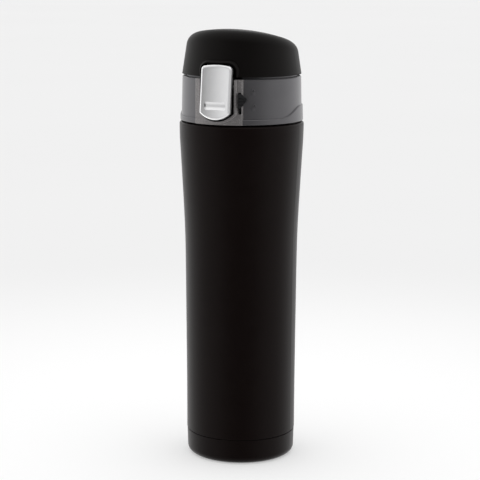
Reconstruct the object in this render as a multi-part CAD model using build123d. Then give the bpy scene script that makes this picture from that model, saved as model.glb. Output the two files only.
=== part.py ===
"""Vacuum flask with a flip-up cap, a front release button and a screw-on lid.

Millimetres. +Z is up, the origin is the centre of the base, the button faces -Y and the hinge is at +Y.
"""

import os
from math import cos, radians, sin, tan

from build123d import *

# ---- Steel body: driving sizes ---------------------------------------------------------------------
FOOT_R = 31.6  # straight lower body
WAIST_R, WAIST_Z = 32.4, 132.0  # where the slow taper turns into the flare
TOP_R, TOP_Z = 35.55, 188.3  # end of the flare
STRAIGHT_Z = 40.0  # corner between the straight tube and the slow taper
SHOULDER_Z = 195.3
SHELL_WALL = 0.45
LINER_WALL = 0.35
VACUUM_GAP = 2.25
TAPER_BENDS = (3600.0, 620.0, 180.0)  # bend radii at the three corners of the side
SEAM_Z, SEAM_GAP = 14.4, 0.4
CUP_FOOT_R, CUP_R = 31.05, 31.42  # base cup at its foot and at the seam
CUP_CORNER = 4.0
DISC_Z = 5.4  # underside of the welded base disc
LINER_FLOOR = 8.2
LINER_TOP = (31.45, 170.0)  # corner between the liner's side and its shoulder
STEP_IN = 0.8  # the shell necks in by this much under the base cup
NECK_R = 23.8
MOUTH_R = 21.0
LIP_Z = 209.6

# ---- Screw thread between neck and lid -------------------------------------------------------------
PITCH = 4.0
THREAD_TURNS = 1.25
RIDGE_DEPTH, RIDGE_ROOT, RIDGE_CREST = 1.1, 2.1, 1.0
MALE_THREAD_Z = 200.2
FEMALE_THREAD_Z = MALE_THREAD_Z - 1.95
THREAD_RING_BORE = 25.2

# ---- Lid collar ------------------------------------------------------------------------------------
COLLAR_Z, COLLAR_TOP = 196.1, 221.2
COLLAR_R, COLLAR_TOP_R = 35.1, 34.4
COLLAR_WALL = 2.1
DECK_Z, DECK_TOP = 218.6, 220.4
BEZEL_R, BEZEL_HALF = 35.2, 14.3
RIM_R, RIM_WIDTH = 36.0, 1.3
PANEL_DEPTH = 0.6
SKIRT_Z, SKIRT_BACK_Z = 199.1, 205.1
RECESS_HALF, RECESS_D = 10.3, 28.7
RECESS_LOW, RECESS_CORNER = 197.9, 202.6

# ---- Release button --------------------------------------------------------------------------------
BUTTON_HALF = 9.1
BUTTON_LOW, BUTTON_CORNER, BUTTON_TOP = 199.2, 203.0, 229.3
BUTTON_D, BUTTON_REF_Z = 38.2, 203.0  # the face's distance from the axis at that height
BUTTON_TILT = 6.2
PLATE_THICK = 2.6
PIVOT_D, PIVOT_Z = 30.8, 217.0
SMALL_PIN_R = 1.0
PIN_HOLD, PIN_RUN = 1.02, 1.06  # bore radii where a pin is held and where it runs
SPRING_Z = 204.5

# ---- Lock slider -----------------------------------------------------------------------------------
SLOT_X, SLOT_HALF = 12.9, 1.0
CHANNEL_IN, CHANNEL_OUT = 28.4, 31.2  # distances of the channel's walls from the axis
SLOT_LOW, SLOT_HIGH = 202.1, 214.3
LOCK_TRAVEL = 3.0

# ---- Flip cap and hinge ----------------------------------------------------------------------------
CAP_Z = 222.4
CAP_R, CAP_DRAFT = 33.93, 0.153
CROWN_R, CROWN_Z, CROWN_Y = 102.0, 248.1, -20.0
CAP_WALL = 1.8
CAP_EDGE = 7.0
HOOD_R, HOOD_HALF, HOOD_TOP, HOOD_SLOPE = 34.4, 12.0, 231.4, 1.0
CAP_RECESS_HALF, CAP_RECESS_TOP = 10.6, 230.3
HINGE_Y, HINGE_Z, KNUCKLE_R = 33.4, 221.8, 3.1
EAR_IN, EAR_OUT = 8.6, 13.2
KNUCKLE_IN, KNUCKLE_OUT = 4.4, 8.3
SCREW_R, SCREW_ANGLES = 26.8, (62, 140, 220, 298)

BIG = 120.0


def outline(points, radii):
    """A closed face in the XZ plane from (radius, height) corners, each rounded by its own radius."""
    return Plane.XZ * make_face(FilletPolyline(*points, radius=radii, close=True))


def turned(points, radii=None):
    """A solid of revolution about Z from (radius, height) corners."""
    return revolve(outline(points, radii or [0] * len(points)), Axis.Z)


def rod_x(radius, x0, x1, y, z):
    """A round bar along X."""
    return Pos((x0 + x1) / 2, y, z) * Rot(0, 90, 0) * Cylinder(radius, x1 - x0)


def disc(radius, z0, z1):
    """A round bar along Z about the axis."""
    return Pos(0, 0, (z0 + z1) / 2) * Cylinder(radius, z1 - z0)


def block(x0, x1, y0, y1, z0, z1):
    """A box from its limits."""
    return Pos((x0 + x1) / 2, (y0 + y1) / 2, (z0 + z1) / 2) * Box(x1 - x0, y1 - y0, z1 - z0)


def front_prism(face, d0, d1):
    """Extrudes a face drawn in the XZ plane along -Y, from distance d0 to d1 in front of the axis."""
    return Pos(0, -d0, 0) * extrude(Plane.XZ * face, d1 - d0)


def side_prism(points, half):
    """Extrudes an outline of (y, z) corners along X, to both sides."""
    return extrude(Plane.YZ * make_face(Polyline(*points, close=True)), half, both=True)


def u_face(half, low, corner, high):
    """A face with straight sides, a flat top and a bottom that bulges down as one arc."""
    return make_face(
        [
            Line((-half, corner), (-half, high)),
            Line((-half, high), (half, high)),
            Line((half, high), (half, corner)),
            ThreePointArc((half, corner), (0, low), (-half, corner)),
        ]
    )


def arch_face(half, low, high, radius):
    """A face with straight sides, a flat bottom and rounded top corners."""
    corners = [(-half, low), (half, low), (half, high), (-half, high)]
    return make_face(FilletPolyline(*corners, radius=[0, 0, radius, radius], close=True))


# ---- Steel body ------------------------------------------------------------------------------------
def side(inset):
    """The body's side from the straight tube to the top of the flare, set in by a wall."""
    return [
        (FOOT_R - inset, STRAIGHT_Z),
        (WAIST_R - inset, WAIST_Z),
        (TOP_R - inset, TOP_Z),
    ]


def helix_ridge(radius, start_z, outward):
    """A screw ridge that stands out of a wall of that radius, towards or away from the axis."""
    path = Helix(PITCH, PITCH * THREAD_TURNS, radius, center=(0, 0, start_z))
    frame = Plane(origin=path @ 0, x_dir=(outward, 0, 0), z_dir=path % 0)
    sunk, root, crest = -0.3, RIDGE_ROOT / 2, RIDGE_CREST / 2
    section = Polyline(
        (sunk, -root), (0, -root), (RIDGE_DEPTH, -crest), (RIDGE_DEPTH, crest), (0, root), (sunk, root), close=True
    )
    return Rot(0, 0, 40) * sweep(frame * make_face(section), path, is_frenet=True)


def outer_shell():
    """The painted steel tube: waist, flare, shoulder and a neck with a rolled thread."""
    w, step_r, low = SHELL_WALL, FOOT_R - STEP_IN, DISC_Z - 0.4
    step_z = SEAM_Z + SEAM_GAP / 2
    corners = [(step_r, low), (step_r, step_z), (FOOT_R, step_z), *side(0), (TOP_R, SHOULDER_Z)]
    radii = [0, 0, 0.25, *TAPER_BENDS, 1.5]
    corners += [(NECK_R, SHOULDER_Z), (NECK_R, LIP_Z), (NECK_R - w, LIP_Z), (NECK_R - w, SHOULDER_Z - w)]
    radii += [0.8, 0.3, 0, 1.2]
    corners += [(TOP_R - w, SHOULDER_Z - w), *reversed(side(w)), (FOOT_R - w, step_z + w), (step_r - w, step_z + w)]
    radii += [1.0, *reversed(TAPER_BENDS), 0, 0]
    corners += [(step_r - w, low)]
    radii += [0]
    return turned(corners, radii) + helix_ridge(NECK_R, MALE_THREAD_Z, 1)


def base_cup():
    """The painted cup that covers the body's lower end, with one stiffening groove in its flat floor."""
    inner = FOOT_R - STEP_IN + 0.05
    floor, groove = 0.8, 0.6
    corners = [(0, 0), (21.2, 0), (21.8, groove), (23.4, groove), (24.0, 0), (CUP_FOOT_R, 0)]
    corners += [(CUP_R, SEAM_Z - SEAM_GAP / 2), (inner, SEAM_Z - SEAM_GAP / 2), (inner, floor + groove)]
    corners += [(0, floor + groove)]
    return turned(corners, [0, 0.3, 0.3, 0.3, 0.3, CUP_CORNER, 0.25, 0, CUP_CORNER - 0.6, 0])


def vacuum_base():
    """The welded disc that closes the shell, with its evacuation hole in the middle."""
    rim = FOOT_R - STEP_IN - SHELL_WALL - 0.05
    low, top, wall, hole = DISC_Z, DISC_Z + 5.4, 0.6, 1.0
    corners = [(hole, low), (rim, low), (rim, top), (rim - wall, top), (rim - wall, low + wall), (hole, low + wall)]
    return turned(corners, [0, 1.2, 0, 0, 0.6, 0])


def vacuum_seal():
    """The bead that plugs the evacuation hole."""
    low, high = DISC_Z - 0.9, DISC_Z + 1.0
    return turned([(0, low), (2.3, low), (2.3, DISC_Z), (0.95, DISC_Z), (0.95, high), (0, high)], [0, 0.7, 0, 0, 0.4, 0])


def inner_vessel():
    """The steel liner: floor, side, shoulder, neck and the lip that is welded to the shell's neck."""
    w, gap = LINER_WALL, SHELL_WALL + VACUUM_GAP
    out_r, floor = FOOT_R - gap, LINER_FLOOR
    a, b, _ = side(gap)
    top = LINER_TOP
    lip_r, lip_z = NECK_R - SHELL_WALL - 0.05, LIP_Z - 0.7
    corners = [(0, floor), (out_r, floor), a, b, top, (MOUTH_R + w, 186.0), (MOUTH_R + w, lip_z), (lip_r, lip_z)]
    radii = [0, 7.0, *TAPER_BENDS[:2], 9.0, 7.0, 0.3, 0]
    corners += [(lip_r, LIP_Z), (MOUTH_R, LIP_Z), (MOUTH_R, 185.7), (top[0] - w, top[1] - 0.2)]
    radii += [0, 0.6, 7.5, 8.5]
    corners += [(b[0] - w, b[1]), (a[0] - w, a[1]), (out_r - w, floor + w), (0, floor + w)]
    radii += [*reversed(TAPER_BENDS[:2]), 6.5, 0]
    return turned(corners, radii)


def heat_foil():
    """Copper foil wrapped round the liner, inside the vacuum."""
    thick, clear = 0.06, SHELL_WALL + VACUUM_GAP - 0.2
    a, b, _ = side(clear)
    rise = (LINER_TOP[0] - b[0] + 0.2) * (162.0 - WAIST_Z) / (LINER_TOP[1] - WAIST_Z)
    low, high = (a[0], 17.0), (b[0] + rise, 162.0)
    corners = [low, a, b, high, (high[0] + thick, high[1]), (b[0] + thick, b[1]), (a[0] + thick, a[1])]
    corners += [(low[0] + thick, low[1])]
    return turned(corners, [0, *TAPER_BENDS[:2], 0, 0, *reversed(TAPER_BENDS[:2]), 0])


def getter():
    """The getter pill that keeps the vacuum clean, on the underside of the liner."""
    return Pos(12, 0, LINER_FLOOR - 0.9) * Cylinder(4.0, 1.7)


# ---- Lid: fixed pieces -----------------------------------------------------------------------------
def mouth_gasket():
    """The silicone ring that seals the lid on the neck's lip, with two outer lips."""
    low, high = LIP_Z + 0.1, LIP_Z + 2.7
    mid = (low + high) / 2
    corners = [(20.3, low), (24.2, low), (24.2, mid - 0.4), (22.8, mid), (24.2, mid + 0.4), (24.2, high), (20.3, high)]
    return turned(corners, [0.4, 0.35, 0.2, 0.3, 0.2, 0.35, 0.4])


def thread_ring():
    """The threaded sleeve that screws on the neck, with a web that carries the spout."""
    bore, out_r, low = THREAD_RING_BORE, THREAD_RING_BORE + 2.2, 196.5
    web, web_top, hole = 213.85, 215.6, 18.75
    corners = [(bore, low), (out_r, low), (out_r, web_top), (24.6, web_top), (24.6, DECK_Z - 0.05)]
    corners += [(22.8, DECK_Z - 0.05), (22.8, web_top), (hole, web_top), (hole, web), (bore, web)]
    return turned(corners, [0.4, 0.3, 0.8, 0, 0, 0, 0, 0, 0, 0]) + helix_ridge(bore, FEMALE_THREAD_Z, -1)


def spout():
    """The drinking mouthpiece: a spigot in the neck, a throat with a seat, and a rim that slopes to the back."""
    corners = [(18.6, 206.0), (20.1, 206.0), (20.1, 208.7), (20.6, 208.9), (20.6, 209.3), (20.15, 209.5)]
    radii = [0.4, 0.4, 0, 0, 0, 0]
    corners += [(20.15, 212.4), (24.0, 212.4), (24.0, 213.75), (18.4, 213.75), (18.4, 215.9), (18.95, 216.2)]
    radii += [0, 0.2, 0.3, 0, 0, 0.1]
    corners += [(18.95, 216.7), (18.4, 217.2), (18.4, 238.0), (16.5, 238.0), (15.9, 225.6), (9.9, 223.6)]
    radii += [0.1, 0, 0, 0, 2.6, 0.9]
    corners += [(8.6, 222.0), (8.6, 219.6), (18.6, 210.0)]
    radii += [0.5, 1.5, 1.5]
    body = turned(corners, radii)
    body -= Pos(0, 0, 231.0) * Rot(-4.2, 0, 0) * Pos(0, 0, 20) * Box(60, 60, 40)
    rims = body.edges().filter_by(lambda e: e.center().Z > 228 and e.length > 60)
    return fillet(rims, 0.85)


def hinge_pin():
    """The steel pin that the cap swings on."""
    return rod_x(SMALL_PIN_R, -EAR_OUT, EAR_OUT, HINGE_Y, HINGE_Z)


def coil(radius, wire, pitch, turns):
    """A coil of round wire up the Z axis from the origin, which starts and, in whole turns, ends at +X."""
    path = Helix(pitch, pitch * turns, radius)
    return sweep(Plane(origin=path @ 0, z_dir=path % 0) * Circle(wire / 2), path, is_frenet=True)


def hinge_spring():
    """The torsion spring that throws the cap open: a coil round the pin, one leg down and one leg up."""
    radius, wire, pitch, turns = 2.05, 0.7, 0.9, 7
    length = pitch * turns
    body = Pos(-length / 2, HINGE_Y, HINGE_Z) * Rot(0, 90, 0) * Rot(0, 0, -90) * coil(radius, wire, pitch, turns)
    for x, leg in ((-length / 2, -4.6), (length / 2, 2.7)):
        body += Pos(x, HINGE_Y - radius, HINGE_Z + leg / 2) * Cylinder(wire / 2, abs(leg))
    return body


def button_pin():
    """The steel pin that the button rocks on, held in the sides of the recess."""
    half = RECESS_HALF + 1.7
    return rod_x(SMALL_PIN_R, -half, half, -PIVOT_D, PIVOT_Z)


def button_spring():
    """The compression spring behind the lower end of the button."""
    start, length, turns = RECESS_D + 0.35, 5.0, 5
    return Pos(0, -start, SPRING_Z) * Rot(90, 0, 0) * coil(2.0, 0.5, length / turns, turns)


# ---- Lid: collar -----------------------------------------------------------------------------------
def panel_cutter():
    """Everything that is cut off both sides of the collar to leave the bezel and the skirt standing proud."""
    inner = (COLLAR_R - PANEL_DEPTH, COLLAR_TOP_R - PANEL_DEPTH)
    bevel = 0.5
    ring = turned(
        [
            (inner[0], 190),
            (38, 190),
            (38, COLLAR_TOP + 1),
            (inner[1] - bevel - 1, COLLAR_TOP + 1),
            (inner[1], COLLAR_TOP - bevel),
        ]
    )
    rise = Spline((-17.0, SKIRT_Z), (-6.2, (SKIRT_Z + SKIRT_BACK_Z) / 2), (4.6, SKIRT_BACK_Z), tangents=((1, 0), (1, 0)))
    edge = [Line((-40, SKIRT_Z), (-17.0, SKIRT_Z)), rise, Line((4.6, SKIRT_BACK_Z), (40, SKIRT_BACK_Z))]
    edge += [Line((40, SKIRT_BACK_Z), (40, 230)), Line((40, 230), (-40, 230)), Line((-40, 230), (-40, SKIRT_Z))]
    above = extrude(Plane.YZ * make_face(edge), 40, both=True)
    return ring & above - block(-BEZEL_HALF, BEZEL_HALF, -40, 0, 190, 230)


def on_ledge(edge):
    """Whether an edge is the outer edge of the skirt's ledge, on the collar's outer cone."""
    c = edge.center()
    skin = COLLAR_R + (COLLAR_TOP_R - COLLAR_R) * (c.Z - COLLAR_Z) / (COLLAR_TOP - COLLAR_Z)
    return abs(Vector(c.X, c.Y).length - skin) < 0.06 and SKIRT_Z - 0.05 < c.Z < SKIRT_BACK_Z + 0.05


def proud_edges(piece, radius):
    """The side and lower edges of a piece's outer face, which lies on a cylinder of that radius."""
    edges = piece.edges().filter_by(lambda e: abs(Vector(e.center().X, e.center().Y).length - radius) < 0.05)
    return edges.filter_by(lambda e: COLLAR_Z + 0.1 < e.center().Z < COLLAR_TOP - 0.1)


def hinge_ears():
    """The two ears that hold the hinge pin, each on a gusset that runs into the collar's wall."""
    ears = Part()
    for sign in (-1, 1):
        x0, x1 = sorted((sign * EAR_IN, sign * EAR_OUT))
        low = [(32.6, 211.5), (33.6, 211.5), (HINGE_Y + KNUCKLE_R, HINGE_Z), (32.6, HINGE_Z)]
        gusset = Pos((x0 + x1) / 2, 0, 0) * side_prism(low, (x1 - x0) / 2)
        ears += gusset + rod_x(KNUCKLE_R, x0, x1, HINGE_Y, HINGE_Z)
    return ears


def collar():
    """The grey lid body: outer wall, deck, button housing, lock channel and hinge ears."""
    corners = [(COLLAR_R - COLLAR_WALL, COLLAR_Z), (COLLAR_R, COLLAR_Z), (COLLAR_TOP_R, COLLAR_TOP)]
    corners += [(33.0, COLLAR_TOP), (32.7, DECK_TOP), (31.4, DECK_TOP), (31.4, 223.2), (30.0, 223.2), (30.0, DECK_TOP)]
    corners += [(19.0, DECK_TOP), (19.0, DECK_Z), (COLLAR_TOP_R - COLLAR_WALL, DECK_Z)]
    body = turned(corners, [0.3, 0.4, 0.6, 0.3, 0, 0, 0.4, 0.4, 0.5, 0.4, 0.4, 1.5])
    body -= panel_cutter()
    body = chamfer(body.edges().filter_by(on_ledge), 0.4)
    for angle in (60, 95, 130, 230, 265, 300):
        rib = block(-0.6, 0.6, -33.2, -(THREAD_RING_BORE + 2.3), COLLAR_Z + 2, DECK_Z + 0.5)
        body += Rot(0, 0, angle) * rib

    housing = block(-BEZEL_HALF - 1.3, BEZEL_HALF + 1.3, -40, -20, COLLAR_Z, COLLAR_TOP) & disc(33.6, 190, 230)
    bezel = block(-BEZEL_HALF, BEZEL_HALF, -40, -20, COLLAR_Z, COLLAR_TOP) & disc(BEZEL_R, 190, 230)
    bezel = chamfer(proud_edges(bezel, BEZEL_R), 0.4)
    rim_low, rim_half = RECESS_LOW - RIM_WIDTH, RECESS_HALF + RIM_WIDTH
    rim = front_prism(u_face(rim_half, rim_low, RECESS_CORNER - 0.6, COLLAR_TOP), 30, 40) & disc(RIM_R, 190, 230)
    rim = chamfer(proud_edges(rim, RIM_R), 0.4)
    body += (housing + bezel + rim) - disc(THREAD_RING_BORE + 2.4, 190, 230)
    body -= block(-12.6, 12.6, -40, -20, COLLAR_TOP, 230)
    body -= front_prism(u_face(RECESS_HALF, RECESS_LOW, RECESS_CORNER, 230), RECESS_D, 40)
    body += front_prism(Pos(0, SPRING_Z) * Circle(1.3), RECESS_D - 0.5, RECESS_D + 0.9)
    body -= rod_x(PIN_HOLD, -RECESS_HALF - 1.9, RECESS_HALF + 1.9, -PIVOT_D, PIVOT_Z)

    slot_mid, slot_len = (SLOT_LOW + SLOT_HIGH) / 2, SLOT_HIGH - SLOT_LOW
    slot = Pos(SLOT_X, slot_mid) * Rot(0, 0, 90) * SlotOverall(slot_len, 2 * SLOT_HALF)
    body -= front_prism(slot, 30, 40)
    body -= block(RECESS_HALF - 0.1, 14.2, -CHANNEL_OUT, -CHANNEL_IN, 201.0, 214.6)

    body += hinge_ears()
    body -= rod_x(KNUCKLE_R + 0.4, -EAR_IN + 0.1, EAR_IN - 0.1, HINGE_Y, HINGE_Z)
    body -= rod_x(PIN_HOLD, -20, 20, HINGE_Y, HINGE_Z)
    return body - block(-4.3, 4.3, 29.4, 32.3, 215.0, 225.0)


# ---- Lid: button and lock --------------------------------------------------------------------------
def face_plane(depth):
    """The plane of the button's face, or one behind it, with its local X to the right and Y up the face."""
    tilt = radians(BUTTON_TILT)
    origin = (0, -BUTTON_D + depth / cos(tilt), BUTTON_REF_Z)
    return Plane(origin=origin, x_dir=(1, 0, 0), z_dir=(0, -cos(tilt), sin(tilt)))


def button_outline(inset):
    """The button's outline on its face plane: straight sides, a bowed top and a round bottom."""
    half, lean = BUTTON_HALF - inset, 1 / cos(radians(BUTTON_TILT))
    low, top = (BUTTON_LOW - BUTTON_REF_Z) * lean + inset, (BUTTON_TOP - BUTTON_REF_Z) * lean - inset
    corner, bow = (BUTTON_CORNER - BUTTON_REF_Z) * lean, 1.0
    face = make_face(
        [
            Line((-half, corner), (-half, top - bow)),
            ThreePointArc((-half, top - bow), (0, top), (half, top - bow)),
            Line((half, top - bow), (half, corner)),
            ThreePointArc((half, corner), (0, low), (-half, corner)),
        ]
    )
    low_corners = face.vertices().sort_by(Axis.Y)[:2]
    face = fillet(low_corners, 1.2)
    return fillet(face.vertices().sort_by(Axis.Y)[-2:], max(2.2 - inset, 0.6))


def button_plate():
    """The silver cover of the button: bevelled edge, dished field and a scooped thumb groove near its lower end."""
    front = face_plane(0)
    plate = extrude(front * button_outline(0), -PLATE_THICK)
    plate = chamfer(plate.faces().sort_by(Axis((0, 0, 0), front.z_dir))[-1].edges(), 0.75)
    dish_r, dish_depth = 60.0, 0.7
    dish = Pos(0, 10, dish_r - dish_depth) * Rot(90, 0, 0) * Cylinder(dish_r, 60)
    plate -= (front * dish) & extrude(front * button_outline(1.25), -2)
    scoop_r, scoop_depth = 3.2, 1.5
    scoop = Pos(0, 3.8, scoop_r - scoop_depth) * Rot(0, 90, 0) * Cylinder(scoop_r, 20)
    return plate - ((front * scoop) & extrude(front * (Pos(0, 3.8) * RectangleRounded(13.0, 4.7, 1.6)), -2))


def button_lever():
    """The rocker behind the plate: pivot boss, latch nose at the top and a spring pocket at the bottom."""
    slope = tan(radians(BUTTON_TILT))
    top, low = 228.2, 200.4

    def back_of_plate(z):
        return BUTTON_D - PLATE_THICK / cos(radians(BUTTON_TILT)) - (z - BUTTON_REF_Z) * slope

    corners = [(back_of_plate(top), top), (31.2, 227.6), (31.2, 225.9), (32.3, 225.7), (32.3, 220.6), (29.6, 218.6)]
    corners += [(29.6, 215.4), (31.0, 213.0), (31.0, low), (back_of_plate(low), low)]
    lever = side_prism([(-d, z) for d, z in corners], BUTTON_HALF - 0.7)
    lever += rod_x(1.95, -BUTTON_HALF + 0.7, BUTTON_HALF - 0.7, -PIVOT_D, PIVOT_Z)
    lever &= extrude(face_plane(-2) * button_outline(0.7), -14)
    lever -= rod_x(PIN_RUN, -20, 20, -PIVOT_D, PIVOT_Z)
    return lever - front_prism(Pos(0, SPRING_Z) * Circle(2.6), 30, 34.4)


def lock_knob():
    """The thumb piece of the lock: an arrow-shaped pad outside the collar, on a neck through the slot."""
    low, high = SLOT_LOW + LOCK_TRAVEL + 0.2, SLOT_HIGH - 0.9
    mid = (low + high) / 2
    foot, head = low + 0.6, high + 0.2
    corners = [(12.5, foot), (13.9, foot), (17.3, mid + 1.1), (13.9, head), (12.5, head)]
    pad = make_face(FilletPolyline(*corners, radius=[0.5, 1.2, 0.9, 1.2, 0.5], close=True))
    shell = turned([(35.4, 190), (36.7, 190), (36.7, 230), (35.4, 230)])
    pad = front_prism(pad, 28, 40) & shell
    for offset in (-1.7, 0, 1.7):
        pad -= Pos(0, 0, mid + offset) * (turned([(36.35, -0.28), (38, -0.6), (38, 0.6), (36.35, 0.28)]))
    neck = Pos(SLOT_X + 0.2, mid) * Rot(0, 0, 90) * SlotOverall(high - low, 2 * SLOT_HALF - 0.7)
    return pad + (front_prism(neck, CHANNEL_OUT - 0.25, 40) & disc(36.0, 190, 230))


def lock_bar():
    """The inner half of the lock: a slide in the channel with a tab that reaches behind the lever."""
    low, high = SLOT_LOW + LOCK_TRAVEL + 0.2, SLOT_HIGH - 0.9
    slide = block(10.2, 13.9, 0.25 - CHANNEL_OUT, -0.1 - CHANNEL_IN, low, high)
    return slide + block(7.0, 10.2, -RECESS_D - 0.7, -RECESS_D - 0.1, low + 0.4, low + 3.4)


# ---- Flip cap --------------------------------------------------------------------------------------
def cap_form(inset, edge, extra=0.0):
    """The cap's solid form: a drafted round wall under a slanted crown, with a rounded edge."""
    base, height = CAP_R - inset, 40.0
    low, high = base + CAP_DRAFT * extra, base - CAP_DRAFT * height
    wall = turned([(0, CAP_Z - extra), (low, CAP_Z - extra), (high, CAP_Z + height), (0, CAP_Z + height)])
    crown = Pos(0, CROWN_Y, CROWN_Z - CROWN_R) * Rot(0, 90, 0) * Sphere(CROWN_R - inset)
    form = wall & crown
    top = form.faces().sort_by(Axis.Z)[-1]
    return fillet(top.edges(), edge)


def cap_shell():
    """The dark outer cap with its hood round the button, the catch, screw posts and hinge knuckles."""
    outer = cap_form(0, CAP_EDGE)
    hood = front_prism(arch_face(HOOD_HALF, CAP_Z, HOOD_TOP, 5.8), 24, 40) & disc(HOOD_R, 200, 240)
    rim = hood.edges().filter_by(lambda e: abs(Vector(e.center().X, e.center().Y).length - HOOD_R) < 0.05)
    outer += chamfer(rim.filter_by(lambda e: e.center().Z > CAP_Z + 0.1), HOOD_SLOPE)
    body = outer - cap_form(CAP_WALL, CAP_EDGE - CAP_WALL, extra=1.0)
    body += front_prism(arch_face(CAP_RECESS_HALF + 1.2, CAP_Z, CAP_RECESS_TOP + 1.5, 5.8), 28.1, 40) & outer
    for angle in SCREW_ANGLES:
        x, y = SCREW_R * sin(radians(angle)), -SCREW_R * cos(radians(angle))
        body += (Pos(x, y, 235.4) * Cylinder(2.6, 20)) & outer
        body -= Pos(x, y, 228.5) * Cylinder(PIN_HOLD, 6.6)
    body -= front_prism(arch_face(CAP_RECESS_HALF, 215, CAP_RECESS_TOP, 4.6), 29.6, 45)
    body += side_prism([(-29.0, 223.6), (-31.0, 224.6), (-31.0, 225.4), (-29.0, 225.4)], 5)
    for sign in (-1, 1):
        x0, x1 = sorted((sign * KNUCKLE_IN, sign * KNUCKLE_OUT))
        body += rod_x(KNUCKLE_R, x0, x1, HINGE_Y, HINGE_Z)
        x0, x1 = sorted((sign * (EAR_IN - 0.15), sign * (EAR_OUT + 0.3)))
        body -= rod_x(KNUCKLE_R + 0.4, x0, x1, HINGE_Y, HINGE_Z)
    body -= rod_x(KNUCKLE_R + 0.3, -KNUCKLE_IN, KNUCKLE_IN, HINGE_Y, HINGE_Z)
    return body - rod_x(PIN_RUN, -20, 20, HINGE_Y, HINGE_Z)


def cap_liner():
    """The cap's inner plate: a flange screwed to the posts and a cup over the spout, with the gasket's post."""
    low, top, wall_r = 223.8, 235.8, 21.0
    corners = [(wall_r, low), (31.0, low), (31.0, low + 1.5), (wall_r + 1.4, low + 1.5), (wall_r + 1.4, top), (0, top)]
    corners += [(0, 228.6), (5.0, 228.6), (5.0, top - 1.4), (wall_r, top - 1.4)]
    body = turned(corners, [0.4, 0.4, 0.3, 0.8, 1.6, 0, 0, 0.6, 0.6, 1.2])
    body -= front_prism(arch_face(CAP_RECESS_HALF + 1.4, 215, CAP_RECESS_TOP + 2.7, 5.8), 27.6, 45)
    body -= block(-9.2, 9.2, 28.2, 40, 215, 230)
    body -= block(-15, 15, 29.2, 40, 215, 227)
    for angle in SCREW_ANGLES:
        x, y = SCREW_R * sin(radians(angle)), -SCREW_R * cos(radians(angle))
        body -= Pos(x, y, low) * Cylinder(1.2, 10)
    return body


def cap_gasket():
    """The silicone plug that closes the spout's throat, stretched over the liner's post."""
    corners = [(0, 222.3), (7.9, 222.3), (10.2, 224.3), (13.2, 225.4), (13.2, 227.0), (6.4, 228.6), (6.4, 231.0)]
    corners += [(5.1, 231.0), (5.1, 228.4), (0, 228.4)]
    return turned(corners, [0, 0.8, 0.9, 0.6, 0.7, 0.9, 0.4, 0.2, 0.2, 0])


def liner_screws():
    """The four self-tapping screws that hold the liner, each with a cross recess."""
    head_z, shank = 223.8, 7.4
    screws = []
    for angle in SCREW_ANGLES:
        head = turned([(0, head_z - 1.3), (1.9, head_z - 1.3), (1.9, head_z - 0.02), (0, head_z - 0.02)], [0, 0.6, 0, 0])
        screw = head + disc(SMALL_PIN_R, head_z - 0.5, head_z + shank)
        for turn in (0, 90):
            screw -= Rot(0, 0, turn) * block(-1.1, 1.1, -0.22, 0.22, head_z - 1.6, head_z - 0.75)
        x, y = SCREW_R * sin(radians(angle)), -SCREW_R * cos(radians(angle))
        screws.append(Pos(x, y, 0) * Rot(0, 0, 30) * screw)
    return Compound(screws)


NODES = (
    outer_shell,
    base_cup,
    vacuum_base,
    vacuum_seal,
    inner_vessel,
    heat_foil,
    getter,
    mouth_gasket,
    thread_ring,
    spout,
    collar,
    hinge_pin,
    hinge_spring,
    button_pin,
    button_spring,
    button_plate,
    button_lever,
    lock_knob,
    lock_bar,
    cap_shell,
    cap_liner,
    cap_gasket,
    liner_screws,
)


def main():
    """Writes each node to its own STEP file."""
    os.makedirs("parts", exist_ok=True)
    for make in NODES:
        export_step(make(), f"parts/{make.__name__}.step")


if __name__ == "__main__":
    main()
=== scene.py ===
"""The looks of a slim vacuum flask with a flip cap: its finishes, its fine pieces and a plain studio.

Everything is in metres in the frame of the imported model: +Z is up, the release button faces -Y.
"""

import logging
import math
from collections.abc import Iterable, Sequence
from dataclasses import dataclass
from enum import Enum
from typing import Union

import bmesh
import bpy
from mathutils import Matrix, Vector


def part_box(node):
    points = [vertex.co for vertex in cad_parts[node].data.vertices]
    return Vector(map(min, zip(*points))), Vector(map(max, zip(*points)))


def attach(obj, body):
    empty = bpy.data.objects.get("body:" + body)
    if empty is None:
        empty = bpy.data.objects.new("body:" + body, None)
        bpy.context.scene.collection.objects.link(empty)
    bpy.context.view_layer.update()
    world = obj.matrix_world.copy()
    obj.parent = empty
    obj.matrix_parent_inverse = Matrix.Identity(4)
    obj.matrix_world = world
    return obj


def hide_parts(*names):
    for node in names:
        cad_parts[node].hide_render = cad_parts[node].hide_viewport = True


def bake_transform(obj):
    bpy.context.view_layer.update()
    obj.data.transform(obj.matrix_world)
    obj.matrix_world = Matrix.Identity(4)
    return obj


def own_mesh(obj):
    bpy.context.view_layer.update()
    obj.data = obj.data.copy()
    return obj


LOG = logging.getLogger("flask")
MM = 0.001
Point = tuple[float, float, float]
Colour = tuple[float, float, float]
Value = Union["Wire", float]


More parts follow.
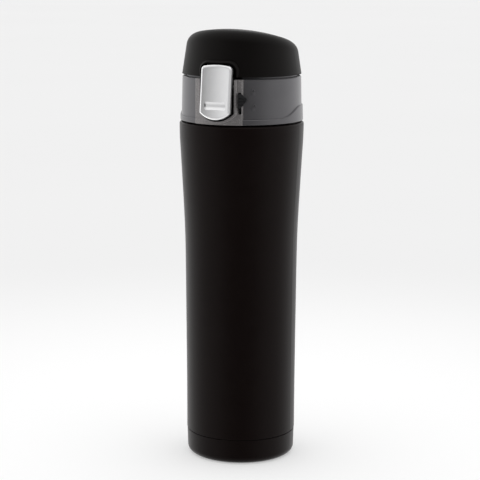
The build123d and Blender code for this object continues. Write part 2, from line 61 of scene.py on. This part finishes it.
# ---- Shader maths --------------------------------------------------------------------------------
class Wire:
    """A number or colour on its way through a shader. Its operators add Math nodes."""

    def __init__(self, graph: "Graph", socket: bpy.types.NodeSocket) -> None:
        """Keeps the socket that the value comes from.

        Args:
            graph: The shader that it belongs to.
            socket: The output socket of a node.
        """
        self.graph = graph
        self.socket = socket

    def __add__(self, other: Value) -> "Wire":
        """Self plus other."""
        return self.graph.math("ADD", self, other)

    __radd__ = __add__

    def __sub__(self, other: Value) -> "Wire":
        """Self minus other."""
        return self.graph.math("SUBTRACT", self, other)

    def __rsub__(self, other: Value) -> "Wire":
        """Other minus self."""
        return self.graph.math("SUBTRACT", other, self)

    def __mul__(self, other: Value) -> "Wire":
        """Self times other."""
        return self.graph.math("MULTIPLY", self, other)

    __rmul__ = __mul__


class Graph:
    """The node tree of a material, which ends in a Principled shader, or of the world."""

    def __init__(self, name: str, tree: bpy.types.NodeTree | None = None) -> None:
        """Makes a material, unless a tree is given.

        Args:
            name: The material's name.
            tree: A node tree to work on instead of a new material's.
        """
        self.tree = tree
        if tree is None:
            self.material = bpy.data.materials.new(name)
            self.material.use_nodes = True
            self.tree = self.material.node_tree
            self.shader = self.tree.nodes["Principled BSDF"]

    def feed(self, socket: bpy.types.NodeSocket, value: Value | Sequence[float]) -> None:
        """Gives a socket a link or a fixed value.

        Args:
            socket: The input to feed.
            value: A wire to link, a number, a vector or a colour.
        """
        if isinstance(value, Wire):
            self.tree.links.new(value.socket, socket)
        elif socket.type == "RGBA":
            socket.default_value = (*value, 1.0)
        else:
            socket.default_value = value

    def node(
        self, kind: str, settings: dict | None = None, values: dict | None = None, output: int = 0
    ) -> Wire:
        """Adds any node.

        Args:
            kind: The node's type name.
            settings: Its own settings, which are set first.
            values: A value or wire for each input, by its name or number.
            output: The number of the output that is wanted.

        Returns:
            The wire from that output.
        """
        made = self.tree.nodes.new(kind)
        for key, setting in (settings or {}).items():
            setattr(made, key, setting)
        for key, value in (values or {}).items():
            self.feed(made.inputs[key], value)
        return Wire(self, made.outputs[output])

    def math(self, operation: str, first: Value, second: Value) -> Wire:
        """One Math node on two values."""
        return self.node("ShaderNodeMath", {"operation": operation}, {0: first, 1: second})

    def place(self, stretch: Point = (1.0, 1.0, 1.0)) -> Wire:
        """The point on the piece, in metres, with each axis multiplied by stretch."""
        at = self.node("ShaderNodeTexCoord", output=3)
        return self.node("ShaderNodeMapping", {"vector_type": "POINT"}, {"Vector": at, "Scale": stretch})

    def height(self) -> Wire:
        """The height of the point on the piece, in metres."""
        at = self.node("ShaderNodeTexCoord", output=3)
        return self.node("ShaderNodeSeparateXYZ", values={"Vector": at}, output=2)

    def noise(self, size: float, detail: float = 2.0, stretch: Point = (1.0, 1.0, 1.0)) -> Wire:
        """Cloudy noise from 0 to 1.

        Args:
            size: The size of its patches, in metres.
            detail: How many finer layers it has.
            stretch: How much faster it changes along each axis.

        Returns:
            The noise's value.
        """
        values = {"Vector": self.place(stretch), "Scale": 1.0 / size, "Detail": detail, "Roughness": 0.55}
        return self.node("ShaderNodeTexNoise", values=values)

    def cells(self, size: float) -> Wire:
        """The distance to the middle of the nearest of many cells, for a beaded or pitted surface."""
        return self.node("ShaderNodeTexVoronoi", values={"Vector": self.place(), "Scale": 1.0 / size})

    def band(self, value: Wire, low: float, high: float) -> Wire:
        """A smooth step from 0 where value is low to 1 where it is high."""
        settings = {"interpolation_type": "SMOOTHSTEP"}
        return self.node("ShaderNodeMapRange", settings, {"Value": value, "From Min": low, "From Max": high})

    def blend(self, share: Value, first: Wire | Colour, second: Wire | Colour) -> Wire:
        """A colour between first, at a share of 0, and second, at 1."""
        return self.node("ShaderNodeMix", {"data_type": "RGBA"}, {0: share, 6: first, 7: second}, output=2)

    def bump(self, height: Wire, depth: float, under: Wire | None = None) -> Wire:
        """Bumps from a height of 0 to 1.

        Args:
            height: The height.
            depth: How deep the relief is, in metres.
            under: Coarser bumps that these lie on.

        Returns:
            The bumped normal.
        """
        values = {"Strength": 1.0, "Distance": depth, "Height": height}
        if under is not None:
            values["Normal"] = under
        return self.node("ShaderNodeBump", values=values)

    def finish(self, **inputs: Value | Sequence[float]) -> bpy.types.Material:
        """Feeds the Principled shader.

        Args:
            inputs: A value for each of its sockets, with an underscore for each space in a name.

        Returns:
            The material.
        """
        for key, value in inputs.items():
            self.feed(self.shader.inputs[key.replace("_", " ")], value)
        return self.material


# ---- Finishes ------------------------------------------------------------------------------------
@dataclass(frozen=True)
class SatinPaint:
    """Satin paint over fine powder on the steel body, a little scuffed at the edge that it stands on."""

    name: str = "satin_paint"
    colour: Colour = (0.0050, 0.0026, 0.0023)
    cloud: Colour = (0.0066, 0.0040, 0.0036)
    scuff: Colour = (0.030, 0.027, 0.026)
    level: float = 0.07
    roughness: float = 0.33
    grain: float = 0.26 * MM
    scuffed_to: float = 1.6 * MM

    def make(self) -> bpy.types.Material:
        """Makes the material."""
        g = Graph(self.name)
        cloud = g.noise(9 * MM, 3.0)
        grain = g.noise(self.grain, 2.0)
        peel = g.noise(1.7 * MM, 1.0)
        low = 1.0 - g.band(g.height(), 0.3 * MM, self.scuffed_to)
        worn = low * g.band(g.noise(0.9 * MM, 4.0), 0.50, 0.70)
        colour = g.blend(worn, g.blend(cloud, self.colour, self.cloud), self.scuff)
        roughness = self.roughness + 0.07 * grain + 0.05 * cloud + 0.12 * worn
        normal = g.bump(grain, 0.010 * MM, g.bump(peel, 0.006 * MM))
        return g.finish(Base_Color=colour, Roughness=roughness, Specular_IOR_Level=self.level, Normal=normal)


@dataclass(frozen=True)
class MouldedPlastic:
    """Moulded plastic with a fine spark-eroded grain and a slight flow of tone."""

    name: str
    colour: Colour
    cloud: Colour
    roughness: float = 0.42
    level: float = 0.4
    grain: float = 0.22 * MM
    depth: float = 0.012 * MM
    coat: float = 0.0

    def make(self) -> bpy.types.Material:
        """Makes the material."""
        g = Graph(self.name)
        grain = g.noise(self.grain, 3.0)
        cells = g.cells(self.grain * 1.4)
        cloud = g.noise(14 * MM, 3.0)
        colour = g.blend(0.75 * cloud + 0.25 * grain, self.colour, self.cloud)
        roughness = self.roughness + 0.06 * grain + 0.04 * cloud
        normal = g.bump(0.6 * grain + 0.4 * cells, self.depth)
        uniform = {"Specular_IOR_Level": self.level, "Coat_Weight": self.coat, "Coat_Roughness": 0.3}
        return g.finish(Base_Color=colour, Roughness=roughness, Normal=normal, **uniform)


@dataclass(frozen=True)
class CollarPlastic:
    """The collar's metallic-looking grey plastic: satin panels and a paler, grainier bezel."""

    name: str = "grey_plastic"
    panel: Colour = (0.088, 0.086, 0.092)
    bezel: Colour = (0.190, 0.180, 0.180)
    speck: Colour = (0.330, 0.315, 0.310)
    bezel_half: float = 14.45 * MM
    bezel_edge: float = 0.1 * MM
    bezel_front: tuple[float, float] = (-30.0 * MM, -29.0 * MM)
    metallic: float = 0.45

    def make(self) -> bpy.types.Material:
        """Makes the material."""
        g = Graph(self.name)
        at = g.node("ShaderNodeTexCoord", output=3)
        across = g.math("ABSOLUTE", g.node("ShaderNodeSeparateXYZ", values={"Vector": at}), 0.0)
        front = g.node("ShaderNodeSeparateXYZ", values={"Vector": at}, output=1)
        beside = g.band(across, self.bezel_half, self.bezel_half + self.bezel_edge)
        on_bezel = (1.0 - beside) * (1.0 - g.band(front, *self.bezel_front))
        grain = g.noise(0.30 * MM, 3.0)
        cloud = g.noise(9 * MM, 3.0)
        specks = g.band(g.noise(0.55 * MM, 3.0), 0.50, 0.72)
        bezel = g.blend(specks, self.bezel, self.speck)
        colour = g.blend(on_bezel, g.blend(0.15 * cloud, self.panel, self.bezel), bezel)
        roughness = 0.34 + 0.06 * grain + 0.04 * cloud + 0.10 * on_bezel
        normal = g.bump(grain, 0.010 * MM, g.bump(specks * on_bezel, 0.035 * MM))
        return g.finish(Base_Color=colour, Metallic=self.metallic, Roughness=roughness, Normal=normal)


@dataclass(frozen=True)
class SilverCover:
    """Satin silver on the button: fine upright brushing under a clear coat."""

    name: str = "satin_silver"
    colour: Colour = (0.88, 0.88, 0.88)
    shade: Colour = (0.76, 0.76, 0.77)
    roughness: float = 0.27

    def make(self) -> bpy.types.Material:
        """Makes the material."""
        g = Graph(self.name)
        lines = g.noise(0.10 * MM, 3.0, (1.0, 1.0, 0.03))
        grain = g.noise(0.18 * MM, 2.0)
        cloud = g.noise(5 * MM, 2.0)
        colour = g.blend(0.5 * lines + 0.5 * cloud, self.shade, self.colour)
        normal = g.bump(0.7 * lines + 0.3 * grain, 0.004 * MM)
        roughness = self.roughness + 0.08 * grain + 0.05 * cloud
        return g.finish(Base_Color=colour, Metallic=0.9, Roughness=roughness, Normal=normal)


class Brushing(Enum):
    """Which way a brushed metal's lines run, as how much faster the lines change along each axis."""

    AROUND = (0.02, 0.02, 1.0)
    NONE = (1.0, 1.0, 1.0)


@dataclass(frozen=True)
class BareMetal:
    """Bare metal with drawn or brushed lines and soft stains."""

    name: str
    colour: Colour
    stain: Colour
    roughness: float = 0.28
    brushing: Brushing = Brushing.AROUND
    line: float = 0.25 * MM
    depth: float = 0.004 * MM

    def make(self) -> bpy.types.Material:
        """Makes the material."""
        g = Graph(self.name)
        lines = g.noise(self.line, 3.0, self.brushing.value)
        stain = g.noise(11 * MM, 4.0)
        colour = g.blend(0.4 * lines + 0.6 * stain, self.colour, self.stain)
        roughness = self.roughness + 0.12 * lines + 0.08 * stain
        normal = g.bump(lines, self.depth)
        return g.finish(Base_Color=colour, Metallic=1.0, Roughness=roughness, Normal=normal)


@dataclass(frozen=True)
class CrinkledFoil:
    """Thin copper foil with creases from being wrapped by hand."""

    name: str = "copper_foil"
    colour: Colour = (0.76, 0.36, 0.22)
    dull: Colour = (0.52, 0.22, 0.13)

    def make(self) -> bpy.types.Material:
        """Makes the material."""
        g = Graph(self.name)
        crease = g.noise(7 * MM, 5.0)
        fine = g.noise(1.1 * MM, 3.0)
        colour = g.blend(g.band(fine, 0.35, 0.75), self.colour, self.dull)
        normal = g.bump(fine, 0.03 * MM, g.bump(crease, 0.5 * MM))
        return g.finish(Base_Color=colour, Metallic=1.0, Roughness=0.22 + 0.2 * fine, Normal=normal)


@dataclass(frozen=True)
class SoftSilicone:
    """Milky silicone that light goes a little way into."""

    name: str = "milky_silicone"
    colour: Colour = (0.62, 0.61, 0.58)
    cloud: Colour = (0.70, 0.69, 0.66)

    def make(self) -> bpy.types.Material:
        """Makes the material."""
        g = Graph(self.name)
        cloud = g.noise(4 * MM, 3.0)
        grain = g.noise(0.3 * MM, 2.0)
        colour = g.blend(cloud, self.colour, self.cloud)
        milky = {
            "Subsurface_Weight": 0.35,
            "Subsurface_Radius": (0.003, 0.0028, 0.0025),
            "Subsurface_Scale": 1.0,
        }
        normal = g.bump(grain, 0.01 * MM)
        return g.finish(Base_Color=colour, Roughness=0.42 + 0.1 * grain, Normal=normal, **milky)


# ---- Modelling by hand ---------------------------------------------------------------------------
def rest_selection() -> None:
    """Leaves edit mode and deselects every object."""
    if bpy.context.object is not None and bpy.context.object.mode != "OBJECT":
        bpy.ops.object.mode_set(mode="OBJECT")
    bpy.ops.object.select_all(action="DESELECT")


class Bench:
    """One new piece in edit mode, drawn and shaped with the modelling operators."""

    def __init__(self, name: str, start: Point) -> None:
        """Starts a mesh with a single point.

        Args:
            name: The piece's name.
            start: Where its first point is, in metres.
        """
        rest_selection()
        bpy.ops.mesh.primitive_plane_add(size=MM)
        self.piece = bpy.context.object
        self.piece.name = self.piece.data.name = name
        bpy.ops.object.mode_set(mode="EDIT")
        bpy.ops.mesh.merge(type="CENTER")
        bpy.ops.transform.translate(value=start)
        self.here = Vector(start)

    def line(self, *corners: Point) -> "Bench":
        """Draws straight runs from where the pen is through each corner."""
        for corner in corners:
            bpy.ops.mesh.extrude_vertices_move(TRANSFORM_OT_translate={"value": Vector(corner) - self.here})
            self.here = Vector(corner)
        return self

    def close(self) -> "Bench":
        """Joins the last point to the first and fills the outline with a face."""
        bpy.ops.mesh.select_all(action="SELECT")
        bpy.ops.mesh.remove_doubles(threshold=0.002 * MM)
        bpy.ops.mesh.edge_face_add()
        return self

    def thicken(self, by: Point) -> "Bench":
        """Extrudes the filled outline into a solid."""
        bpy.ops.mesh.select_all(action="SELECT")
        bpy.ops.mesh.extrude_region_move(TRANSFORM_OT_translate={"value": by})
        self.outwards()
        return self

    def outwards(self) -> "Bench":
        """Merges doubles and turns every face outwards."""
        bpy.ops.mesh.select_all(action="SELECT")
        bpy.ops.mesh.remove_doubles(threshold=0.002 * MM)
        bpy.ops.mesh.normals_make_consistent(inside=False)
        return self

    def done(self) -> bpy.types.Object:
        """Leaves edit mode and hands over the piece."""
        bpy.ops.object.mode_set(mode="OBJECT")
        return self.piece


def settle(piece: bpy.types.Object) -> bpy.types.Object:
    """Puts the piece's place, turn and size into its mesh."""
    rest_selection()
    piece.select_set(True)
    bpy.context.view_layer.objects.active = piece
    bpy.ops.object.transform_apply(location=True, rotation=True, scale=True)
    return piece


def modify(piece: bpy.types.Object, kind: str, **settings: object) -> bpy.types.Object:
    """Adds a modifier and applies it.

    Args:
        piece: The piece to change.
        kind: The modifier's type.
        settings: Its settings.

    Returns:
        The same piece.
    """
    rest_selection()
    piece.select_set(True)
    bpy.context.view_layer.objects.active = piece
    made = piece.modifiers.new(kind.lower(), kind)
    for key, value in settings.items():
        setattr(made, key, value)
    bpy.ops.object.modifier_apply(modifier=made.name)
    return piece


def soften(piece: bpy.types.Object, width: float, steps: int = 3, angle: float = 30.0) -> bpy.types.Object:
    """Rounds the piece's sharp edges and shades it smooth."""
    modify(
        piece,
        "BEVEL",
        width=width,
        segments=steps,
        limit_method="ANGLE",
        angle_limit=math.radians(angle),
        harden_normals=False,
        use_clamp_overlap=True,
    )
    rest_selection()
    piece.select_set(True)
    bpy.context.view_layer.objects.active = piece
    bpy.ops.object.shade_smooth_by_angle(angle=math.radians(38))
    return piece


def join(name: str, parts: Iterable[bpy.types.Object]) -> bpy.types.Object:
    """Joins several pieces into one object with that name."""
    found = list(parts)
    rest_selection()
    for part in found:
        part.select_set(True)
    bpy.context.view_layer.objects.active = found[0]
    bpy.ops.object.join()
    found[0].name = found[0].data.name = name
    return found[0]


def wear(piece: bpy.types.Object, material: bpy.types.Material) -> None:
    """Gives the whole piece one material."""
    piece.data.materials.clear()
    piece.data.materials.append(material)


def fit(piece: bpy.types.Object, body: str, material: bpy.types.Material) -> None:
    """Dresses a finished new piece and lets it ride on a body."""
    wear(piece, material)
    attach(piece, body)
    LOG.info("%s rides on %s, %d faces", piece.name, body, len(piece.data.polygons))


# ---- The sub-assemblies --------------------------------------------------------------------------
@dataclass
class Vessel:
    """The double-walled steel body with its base cup."""

    nodes: dict[str, bpy.types.Object]

    def dress(self) -> None:
        """Gives each piece of the body its finish."""
        paint = SatinPaint().make()
        steel = BareMetal("drawn_steel", (0.56, 0.55, 0.53), (0.46, 0.45, 0.43), 0.26).make()
        dull = BareMetal("solder", (0.42, 0.42, 0.44), (0.30, 0.30, 0.31), 0.45, Brushing.NONE).make()
        finishes = {
            "outer_shell": paint,
            "base_cup": paint,
            "inner_vessel": steel,
            "vacuum_base": steel,
            "vacuum_seal": dull,
            "getter": dull,
            "heat_foil": CrinkledFoil().make(),
        }
        for name, finish in finishes.items():
            wear(self.nodes[name], finish)
            LOG.info("%s is dressed", name)


@dataclass
class Coil:
    """A coil of round wire, drawn upright at the origin and then laid in place."""

    name: str
    radius: float
    wire: float
    pitch: float
    turns: int

    def make(self) -> bpy.types.Object:
        """Makes the coil along +Z from the origin, with both ends at +X.

        Returns:
            The coil, with its ends open.
        """
        rest_selection()
        bpy.ops.mesh.primitive_circle_add(
            vertices=12, radius=self.wire / 2, location=(self.radius, 0, 0), rotation=(math.pi / 2, 0, 0)
        )
        piece = settle(bpy.context.object)
        piece.name = piece.data.name = self.name
        modify(
            piece,
            "SCREW",
            angle=math.tau,
            screw_offset=self.pitch,
            iterations=self.turns,
            steps=28,
            render_steps=28,
            use_smooth_shade=True,
            use_normal_calculate=True,
        )
        return piece

    def cap_ends(self, piece: bpy.types.Object, lengths: tuple[float, float]) -> bpy.types.Object:
        """Draws each open end out into a straight leg along Y and closes it.

        Args:
            piece: The coil.
            lengths: How far the lower and the upper end are drawn out; 0 only closes that end.

        Returns:
            The closed coil.
        """
        top = self.pitch * self.turns
        bpy.ops.object.mode_set(mode="EDIT")
        for level, length in zip((0.0, top), lengths):
            bpy.ops.mesh.select_mode(type="VERT")
            bpy.ops.mesh.select_all(action="DESELECT")
            mesh = bmesh.from_edit_mesh(piece.data)
            for edge in mesh.edges:
                middle = (edge.verts[0].co + edge.verts[1].co) / 2
                edge.select_set(edge.is_boundary and abs(middle.z - level) < self.wire)
            bmesh.update_edit_mesh(piece.data)
            if length:
                bpy.ops.mesh.extrude_region_move(TRANSFORM_OT_translate={"value": (0, length, 0)})
            bpy.ops.mesh.edge_face_add()
        bpy.ops.mesh.select_all(action="SELECT")
        bpy.ops.mesh.normals_make_consistent(inside=False)
        bpy.ops.object.mode_set(mode="OBJECT")
        return piece


@dataclass
class Lid:
    """The screw-on lid: collar, threaded sleeve, spout, pins and springs."""

    nodes: dict[str, bpy.types.Object]
    panel_foot: tuple[float, float] = (34.47 * MM, 196.1 * MM)
    panel_lean: float = 0.7 / 25.1
    icon_turn: float = 34.0
    icon_heights: tuple[float, float] = (214.3 * MM, 205.9 * MM)
    icon_size: float = 3.3 * MM
    icon_relief: float = 0.18 * MM

    def dress(self) -> None:
        """Gives each fixed piece of the lid its finish."""
        grey = CollarPlastic().make()
        inner = MouldedPlastic(
            "inner_plastic", (0.020, 0.019, 0.019), (0.026, 0.025, 0.025), 0.38, 0.4
        ).make()
        steel = BareMetal("bright_steel", (0.60, 0.60, 0.60), (0.50, 0.50, 0.50), 0.22, Brushing.NONE).make()
        wear(self.nodes["collar"], grey)
        for name in ("thread_ring", "spout"):
            wear(self.nodes[name], inner)
        for name in ("hinge_pin", "button_pin", "hinge_spring", "button_spring"):
            wear(self.nodes[name], steel)
        wear(self.nodes["mouth_gasket"], SoftSilicone().make())
        for index, height in enumerate(self.icon_heights):
            fit(self.padlock(index == 1, height), "lid", grey)
        self.springs(steel)

    def padlock(self, is_open: bool, height: float) -> bpy.types.Object:
        """A small raised padlock on the collar, beside the end of the lock's travel that it stands for.

        Args:
            is_open: Whether its shackle is lifted.
            height: The height of its middle.

        Returns:
            The finished piece.
        """
        size = self.icon_size
        half, low, mid = 0.36 * size, -0.5 * size, 0.06 * size
        bench = Bench("padlock_open" if is_open else "padlock_shut", (-half, 0, low))
        bench.line((half, 0, low), (half, 0, mid), (-half, 0, mid)).close()
        body = bench.thicken((0, -self.icon_relief, 0)).done()
        rest_selection()
        bpy.ops.mesh.primitive_torus_add(
            major_radius=0.24 * size,
            minor_radius=0.07 * size,
            major_segments=28,
            minor_segments=8,
            rotation=(math.pi / 2, 0, 0),
        )
        shackle = settle(bpy.context.object)
        bpy.ops.object.mode_set(mode="EDIT")
        bpy.ops.mesh.select_all(action="SELECT")
        bpy.ops.mesh.bisect(plane_co=(0, 0, 0), plane_no=(0, 0, 1), clear_inner=True)
        bpy.ops.mesh.extrude_region_move(TRANSFORM_OT_translate={"value": (0, 0, -0.20 * size)})
        bpy.ops.mesh.select_all(action="SELECT")
        bpy.ops.mesh.fill_holes(sides=0)
        bpy.ops.mesh.normals_make_consistent(inside=False)
        bpy.ops.object.mode_set(mode="OBJECT")
        shackle.location = (0.18 * size if is_open else 0.0, -self.icon_relief / 2, mid + 0.18 * size)
        settle(shackle)
        piece = join(body.name, (soften(body, 0.06 * MM, 2), shackle))
        turn = math.radians(self.icon_turn)
        piece.rotation_euler = (0, 0, turn)
        radius = self.panel_foot[0] - self.panel_lean * (height - self.panel_foot[1])
        piece.location = (radius * math.sin(turn), -radius * math.cos(turn), height)
        return settle(piece)

    def springs(self, steel: bpy.types.Material) -> None:
        """Makes the two springs, which stand in for the imported coils.

        Args:
            steel: The finish of their wire.
        """
        low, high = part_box("button_spring")
        coil = Coil("button_coil", 2.0 * MM, 0.5 * MM, (high.y - low.y - 0.5 * MM) / 5, 5)
        piece = coil.cap_ends(coil.make(), (0.0, 0.0))
        piece.rotation_euler = (math.pi / 2, 0, 0)
        piece.location = (0, high.y - 0.25 * MM, (low.z + high.z) / 2)
        settle(piece)
        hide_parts("button_spring")
        fit(piece, "lid", steel)
        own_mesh(piece)

        low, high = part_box("hinge_spring")
        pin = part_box("hinge_pin")
        middle = (pin[0] + pin[1]) / 2
        wire, turns = 0.7 * MM, 7
        coil = Coil("hinge_coil", middle.y - low.y - wire / 2, wire, (high.x - low.x - wire) / turns, turns)
        piece = coil.cap_ends(coil.make(), (low.z - middle.z, high.z - middle.z))
        piece.rotation_euler = (0, math.pi / 2, 0)
        settle(piece)
        piece.matrix_world = Matrix.Translation((low.x + wire / 2, middle.y, middle.z)) @ self.leg_frame()
        settle(piece)
        wear(piece, steel)
        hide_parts("hinge_spring")
        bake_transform(piece)
        LOG.info("%s bends between lid and cap", piece.name)

    @staticmethod
    def leg_frame() -> Matrix:
        """The turn about X that brings a laid coil's legs upright, on the side towards the flask's axis."""
        return Matrix.Rotation(math.pi / 2, 4, "X")


@dataclass
class Button:
    """The release button: the silver cover and the rocker behind it."""

    nodes: dict[str, bpy.types.Object]

    def dress(self) -> None:
        """Gives both pieces their finish."""
        wear(self.nodes["button_plate"], SilverCover().make())
        dark = MouldedPlastic("lever_plastic", (0.012, 0.012, 0.013), (0.017, 0.017, 0.018), 0.45, 0.3).make()
        wear(self.nodes["button_lever"], dark)


@dataclass
class Lock:
    """The lock slider."""

    nodes: dict[str, bpy.types.Object]

    def dress(self) -> None:
        """Gives both halves their finish."""
        dark = MouldedPlastic("lock_plastic", (0.010, 0.010, 0.011), (0.016, 0.016, 0.017), 0.36, 0.45).make()
        for name in ("lock_knob", "lock_bar"):
            wear(self.nodes[name], dark)


@dataclass
class Cap:
    """The flip cap: shell, inner plate, sealing plug and screws."""

    nodes: dict[str, bpy.types.Object]

    def dress(self) -> None:
        """Gives each piece of the cap its finish."""
        soft = MouldedPlastic(
            "soft_black", (0.0030, 0.0021, 0.0018), (0.0042, 0.0031, 0.0027), 0.46, 0.10, 0.2 * MM, 0.014 * MM
        ).make()
        inner = bpy.data.materials["inner_plastic"]
        wear(self.nodes["cap_shell"], soft)
        wear(self.nodes["cap_liner"], inner)
        wear(self.nodes["cap_gasket"], bpy.data.materials["milky_silicone"])
        wear(self.nodes["liner_screws"], bpy.data.materials["bright_steel"])


# ---- The studio ----------------------------------------------------------------------------------
@dataclass
class Studio:
    """A plain pale floor that glows with painted light near the flask, soft light and the camera."""

    distance: float = 0.920
    eye: float = 0.294
    turn: float = 23.5
    aim: float = 0.0008
    pitch: float = 10.37
    roll: float = 0.0034
    lens: float = 120.9
    sensor: float = 36.0
    floor_radius: float = 14.0
    floor_tones: tuple[Colour, Colour] = ((0.60, 0.60, 0.60), (0.62, 0.62, 0.62))
    # Painted light on the floor: an emitted glow, stronger near the flask, that lightens the flask's shadow.
    painted_light_near: Colour = (0.36, 0.36, 0.36)
    painted_light_far: Colour = (0.20, 0.20, 0.20)
    painted_light_reach: tuple[float, float] = (0.08, 0.6)
    dark_room: Colour = (0.02, 0.02, 0.02)
    pale_room: Colour = (0.95, 0.95, 0.95)
    bright_room: Colour = (1.5, 1.5, 1.5)
    ceiling: Colour = (1.15, 1.15, 1.15)
    dark_below: float = -0.98
    pale_above: float = -0.50
    bright_above: float = 0.60
    ceiling_from: tuple[float, float] = (0.45, 0.8)

    def floor(self) -> None:
        """Lays a large pale floor whose painted light glows brightest near the flask, lightening the flask's
        shadow there.
        """
        rest_selection()
        bpy.ops.mesh.primitive_circle_add(
            vertices=96, radius=self.floor_radius, fill_type="NGON", location=(0, 0, 0)
        )
        floor = bpy.context.object
        floor.name = "floor"
        g = Graph("pale_floor")
        tone = g.noise(0.8, 2.0)
        colour = g.blend(tone, *self.floor_tones)
        at = g.node("ShaderNodeTexCoord", output=3)
        away = g.node("ShaderNodeVectorMath", {"operation": "LENGTH"}, {0: at}, output=1)
        # Painted light: the floor glows, brightest near the flask, to lighten the flask's shadow on it.
        painted_floor_light = g.blend(g.band(away, *self.painted_light_reach), self.painted_light_near, self.painted_light_far)
        painted_light_emission = {"Emission_Color": painted_floor_light, "Emission_Strength": 1.0}
        wear(floor, g.finish(Base_Color=colour, Roughness=0.8, Specular_IOR_Level=0.0, **painted_light_emission))
        floor.visible_glossy = False

    def around(self, degrees: float, distance: float, height: float) -> Point:
        """A point round the flask, counted from the camera's side towards its right."""
        a = math.radians(self.turn + degrees)
        return (distance * math.sin(a), -distance * math.cos(a), height)

    def light(self) -> None:
        """Lights the room, which is dark behind the camera and pale behind the flask, with a bright ceiling.
        """
        world = bpy.data.worlds.new("room")
        world.use_nodes = True
        g = Graph("room", world.node_tree)
        away = self.around(180.0, 1.0, 0.0)
        at = g.node("ShaderNodeTexCoord", output=0)
        facing = g.node("ShaderNodeVectorMath", {"operation": "DOT_PRODUCT"}, {0: at, 1: away}, output=1)
        upward = g.node("ShaderNodeSeparateXYZ", values={"Vector": at}, output=2)
        share = g.band(facing, self.dark_below, self.pale_above)
        behind = g.band(facing, self.pale_above, self.bright_above)
        room = g.blend(behind, g.blend(share, self.dark_room, self.pale_room), self.bright_room)
        back = world.node_tree.nodes["Background"]
        overhead = g.band(upward, *self.ceiling_from)
        g.feed(back.inputs["Color"], g.blend(overhead, room, self.ceiling))
        back.inputs["Strength"].default_value = 1.0
        bpy.context.scene.world = world

    def camera(self) -> None:
        """Sets up the camera."""
        data = bpy.data.cameras.new("camera")
        data.lens = self.lens
        data.sensor_width = self.sensor
        data.clip_start, data.clip_end = 0.01, 60.0
        camera = bpy.data.objects.new("camera", data)
        camera.location = self.around(0.0, self.distance, self.eye)
        turned = Matrix.Rotation(math.radians(self.turn) + self.aim, 4, "Z")
        tipped = Matrix.Rotation(math.radians(90.0 - self.pitch), 4, "X")
        camera.rotation_euler = (turned @ tipped @ Matrix.Rotation(self.roll, 4, "Z")).to_euler()
        bpy.context.scene.collection.objects.link(camera)
        bpy.context.scene.camera = camera
        bpy.context.scene.view_settings.view_transform = "Standard"


def main() -> None:
    """Builds the looks round the frame."""
    logging.basicConfig(level=logging.INFO, format="%(name)s: %(message)s")
    nodes = frame["nodes"]
    for assembly in (Vessel(nodes), Lid(nodes), Button(nodes), Lock(nodes), Cap(nodes)):
        assembly.dress()
        LOG.info("%s is done", type(assembly).__name__)
    studio = Studio()
    studio.floor()
    studio.light()
    studio.camera()


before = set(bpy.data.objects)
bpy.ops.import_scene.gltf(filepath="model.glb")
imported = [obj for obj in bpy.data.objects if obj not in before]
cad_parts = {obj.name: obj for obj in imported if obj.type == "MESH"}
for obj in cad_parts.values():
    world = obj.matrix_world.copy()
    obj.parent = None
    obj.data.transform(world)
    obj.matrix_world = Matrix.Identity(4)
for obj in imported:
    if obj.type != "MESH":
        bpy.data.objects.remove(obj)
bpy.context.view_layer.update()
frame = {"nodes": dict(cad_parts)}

if __name__ == "__main__":
    main()
